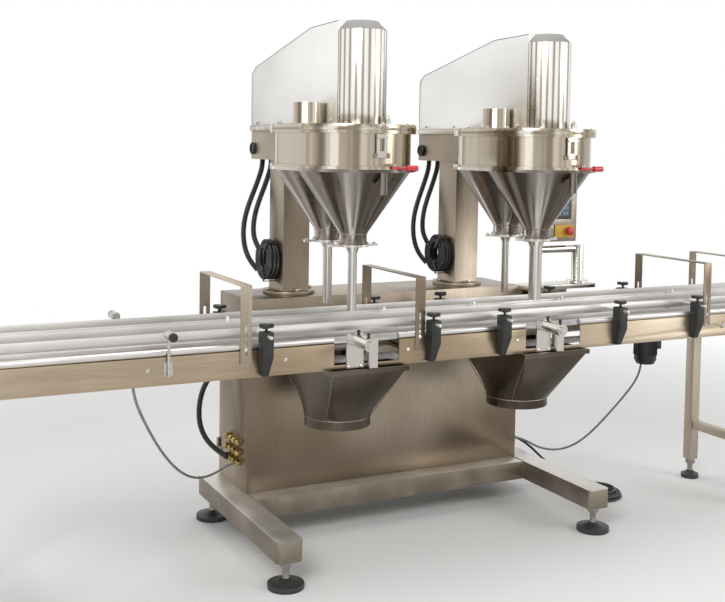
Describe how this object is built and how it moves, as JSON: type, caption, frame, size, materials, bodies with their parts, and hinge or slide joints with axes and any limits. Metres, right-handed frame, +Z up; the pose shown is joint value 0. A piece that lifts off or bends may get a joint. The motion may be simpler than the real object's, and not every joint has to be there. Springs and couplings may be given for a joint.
{
  "type": "auger powder filler",
  "caption": "Twin-head auger powder filler over a two-lane bottle conveyor, with hoppers, nozzles, catch funnels, control panel and guards.",
  "frame": {"origin": "on the floor under the middle of the machine", "axes": "+X along the conveyor towards the control panel, +Y away from the operator, +Z up"},
  "size_m": [3.76, 1.084, 2.078],
  "materials": {
    "brushed_steel": "brushed",
    "frame_steel": "satin",
    "polished_steel": "polished",
    "cover_steel": "fine brushed",
    "foot_black": "matte",
    "black_plastic": "matte",
    "belt_plastic": "satin",
    "nose_plastic": "satin",
    "motor_black": "satin",
    "drive_grey": "matte",
    "panel_zinc": "satin",
    "grip_red": "gloss",
    "button_red": "gloss",
    "plate_yellow": "satin",
    "screen_dark": "gloss",
    "gland_brass": "satin",
    "conduit_black": "satin",
    "cable_grey": "satin",
    "cable_black": "satin"
  },
  "bodies": {
    "machine": {"base_frame": "frame_steel", "levelling_feet": "foot_black", "cabinet": "frame_steel", "electrical_plate": "panel_zinc", "left_column": "frame_steel", "right_column": "frame_steel", "column_bolts": "polished_steel", "drive_units": "drive_grey", "nozzles": "polished_steel", "panel_stand": "polished_steel", "conveyor_frame": "brushed_steel", "conveyor_belts": "belt_plastic", "belt_noses": "nose_plastic", "conveyor_motor": "motor_black", "conveyor_legs": "frame_steel", "rail_clamps": "black_plastic", "centre_guide": "polished_steel", "hand_knobs": "black_plastic", "guard_straps": "frame_steel", "stop_cylinders": "polished_steel", "catch_funnels": "polished_steel", "sensors": "black_plastic", "cable_glands": "gland_brass", "conduit_looms": "conduit_black", "cabinet_conduit": "conduit_black", "left_sensor_cable": "cable_grey", "right_sensor_cable": "cable_grey", "mains_lead": "cable_black", "mains_coil": "cable_black", "left_lid": "brushed_steel", "left_band": "brushed_steel", "left_cones": "polished_steel", "left_motor_cover": "cover_steel", "left_outer_conduit": "conduit_black", "left_inner_conduit": "conduit_black", "right_lid": "brushed_steel", "right_band": "brushed_steel", "right_cones": "polished_steel", "right_motor_cover": "cover_steel", "right_outer_conduit": "conduit_black", "right_inner_conduit": "conduit_black"},
    "control_panel": {"control_box": "brushed_steel", "touch_screen": "screen_dark", "stop_plate": "plate_yellow"},
    "left_rear_door_body": {"left_rear_door": "frame_steel"},
    "right_rear_door_body": {"right_rear_door": "frame_steel"},
    "left_front_auger_body": {"left_front_auger": "polished_steel"},
    "left_rear_auger_body": {"left_rear_auger": "polished_steel"},
    "right_front_auger_body": {"right_front_auger": "polished_steel"},
    "right_rear_auger_body": {"right_rear_auger": "polished_steel"},
    "left_latch_body": {"left_latch": "polished_steel"},
    "right_latch_body": {"right_latch": "polished_steel"},
    "left_toggle_body": {"left_toggle": "grip_red"},
    "right_toggle_body": {"right_toggle": "grip_red"},
    "stop_button_body": {"stop_button": "button_red"},
    "drive_shaft_body": {"drive_shaft": "polished_steel"},
    "front_guide_rail_body": {"front_guide_rail": "polished_steel"},
    "rear_guide_rail_body": {"rear_guide_rail": "polished_steel"},
    "left_stop_rod_body": {"left_stop_rod": "polished_steel"},
    "right_stop_rod_body": {"right_stop_rod": "polished_steel"}
  },
  "joints": [
    {"name": "left_door_hinge", "type": "hinge", "parent": "machine", "child": "left_rear_door_body", "pos_m": [-0.675, 0.485, 0.5865], "axis": [0, 0, 1], "range_deg": [0, 110]},
    {"name": "right_door_hinge", "type": "hinge", "parent": "machine", "child": "right_rear_door_body", "pos_m": [0.675, 0.485, 0.5865], "axis": [0, 0, -1], "range_deg": [0, 110]},
    {"name": "left_front_auger_spin", "type": "hinge", "parent": "machine", "child": "left_front_auger_body", "pos_m": [-0.424, -0.287, 1.4], "axis": [0, 0, -1], "continuous": true},
    {"name": "left_rear_auger_spin", "type": "hinge", "parent": "machine", "child": "left_rear_auger_body", "pos_m": [-0.424, -0.069, 1.4], "axis": [0, 0, -1], "continuous": true},
    {"name": "left_latch_pivot", "type": "hinge", "parent": "machine", "child": "left_latch_body", "pos_m": [-0.424, -0.507, 1.586], "axis": [1, 0, 0], "range_deg": [0, 120]},
    {"name": "left_toggle_pivot", "type": "hinge", "parent": "machine", "child": "left_toggle_body", "pos_m": [-0.38198, -0.52532, 1.542], "axis": [0, 0, -1], "range_deg": [0, 90]},
    {"name": "left_stop_slide", "type": "slide", "parent": "machine", "child": "left_stop_rod_body", "axis": [0, 1, 0], "range_m": [0, 0.08]},
    {"name": "right_front_auger_spin", "type": "hinge", "parent": "machine", "child": "right_front_auger_body", "pos_m": [0.424, -0.287, 1.4], "axis": [0, 0, -1], "continuous": true},
    {"name": "right_rear_auger_spin", "type": "hinge", "parent": "machine", "child": "right_rear_auger_body", "pos_m": [0.424, -0.069, 1.4], "axis": [0, 0, -1], "continuous": true},
    {"name": "right_latch_pivot", "type": "hinge", "parent": "machine", "child": "right_latch_body", "pos_m": [0.424, -0.507, 1.586], "axis": [1, 0, 0], "range_deg": [0, 120]},
    {"name": "right_toggle_pivot", "type": "hinge", "parent": "machine", "child": "right_toggle_body", "pos_m": [0.46602, -0.52532, 1.542], "axis": [0, 0, -1], "range_deg": [0, 90]},
    {"name": "right_stop_slide", "type": "slide", "parent": "machine", "child": "right_stop_rod_body", "axis": [0, 1, 0], "range_m": [0, 0.08]},
    {"name": "panel_swivel", "type": "hinge", "parent": "machine", "child": "control_panel", "pos_m": [0.77, 0.165, 1.19], "axis": [0, 0, 1], "range_deg": [-60, 60]},
    {"name": "stop_button_press", "type": "slide", "parent": "control_panel", "child": "stop_button_body", "axis": [0, 1, 0], "range_m": [0, 0.005], "stiffness_N_per_m": 1500, "springref_m": -0.002},
    {"name": "drive_shaft_spin", "type": "hinge", "parent": "machine", "child": "drive_shaft_body", "pos_m": [1.355, -0.2, 0.851], "axis": [0, 1, 0], "continuous": true},
    {"name": "front_guide_adjust", "type": "slide", "parent": "machine", "child": "front_guide_rail_body", "axis": [0, 1, 0], "range_m": [-0.02, 0.03]},
    {"name": "rear_guide_adjust", "type": "slide", "parent": "machine", "child": "rear_guide_rail_body", "axis": [0, 1, 0], "range_m": [-0.03, 0.012]}
  ]
}
